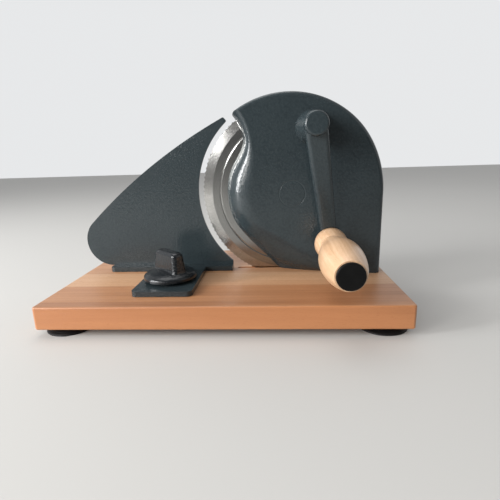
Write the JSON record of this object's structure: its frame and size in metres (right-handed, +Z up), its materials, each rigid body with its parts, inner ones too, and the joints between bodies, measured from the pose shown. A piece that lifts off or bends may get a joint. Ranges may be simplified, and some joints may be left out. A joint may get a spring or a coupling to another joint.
{
  "type": "bread slicer with crank",
  "caption": "Hand cranked bread slicer: toothed disc blade in a cast housing on a beech board, with a sliding stop plate, a wing knob clamp and a wooden crank grip.",
  "frame": {"origin": "centre of the bounding box at the bottom of the rubber feet", "axes": "+X to the housing's side along the board, +Y away from the crank towards the loaf side, +Z up"},
  "size_m": [0.331, 0.2234, 0.2122],
  "materials": {
    "hammered_paint": "blue-grey hammer texture enamel, semi gloss",
    "beech_board": "oiled glued beech staves, satin",
    "grip_wood": "light turned wood, waxed",
    "blade_steel": "stainless, circular brushed with a ground bevel",
    "zinc_steel": "bright zinc plated steel",
    "bronze": "plain bearing bronze and brass",
    "gear_nylon": "natural nylon",
    "knob_plastic": "near black with a fine texture, glossy",
    "black_plastic": "black, smooth matte",
    "black_rubber": "black rubber"
  },
  "bodies": {
    "base": {"base_board": "beech_board", "suction_feet": "black_rubber", "foot_screws": "zinc_steel", "housing": "hammered_paint", "housing_screws": "zinc_steel", "blade_axle": "hammered_paint", "thrust_washer": "zinc_steel", "blade_washer": "zinc_steel", "blade_screw": "zinc_steel", "crank_bush": "bronze", "clamp_stud": "zinc_steel", "stud_washer": "zinc_steel"},
    "blade_wheel": {"blade": "blade_steel", "blade_gear": "gear_nylon", "blade_bush": "bronze", "gear_screws": "zinc_steel"},
    "crank": {"crank_shaft": "zinc_steel", "crank_gear": "zinc_steel", "gear_key": "zinc_steel", "crank_arm": "hammered_paint", "crank_washer": "zinc_steel", "crank_screw": "zinc_steel", "hub_cap": "hammered_paint", "grip_bolt": "zinc_steel", "grip_washer": "zinc_steel"},
    "grip": {"crank_grip": "grip_wood", "grip_end_cap": "black_plastic"},
    "slide": {"slide_base": "hammered_paint", "stop_plate": "hammered_paint", "plate_screws": "zinc_steel"},
    "clamp": {"clamp_knob": "knob_plastic", "knob_insert": "bronze", "clamp_washer": "zinc_steel"}
  },
  "joints": [
    {"name": "crank_turn", "type": "hinge", "parent": "base", "child": "crank", "pos_m": [0.08575, 0.00212, 0.17648], "axis": [0, 1, 0], "continuous": true},
    {"name": "blade_spin", "type": "hinge", "parent": "base", "child": "blade_wheel", "pos_m": [0.067, 0.03012, 0.1132], "axis": [0, 1, 0], "continuous": true},
    {"name": "grip_spin", "type": "hinge", "parent": "crank", "child": "grip", "pos_m": [0.10391, -0.01388, 0.06556], "axis": [0.0068, -0.9991, -0.0413], "continuous": true},
    {"name": "plate_slide", "type": "slide", "parent": "base", "child": "slide", "axis": [0, -1, 0], "range_m": [0, 0.015]},
    {"name": "clamp_turn", "type": "hinge", "parent": "base", "child": "clamp", "pos_m": [-0.056, -0.02588, 0.0362], "axis": [0, 0, 1], "range_deg": [0, 180]}
  ],
  "couplings": [
    {"joint": "blade_spin", "follows": "crank_turn", "ratio": -0.57143}
  ]
}
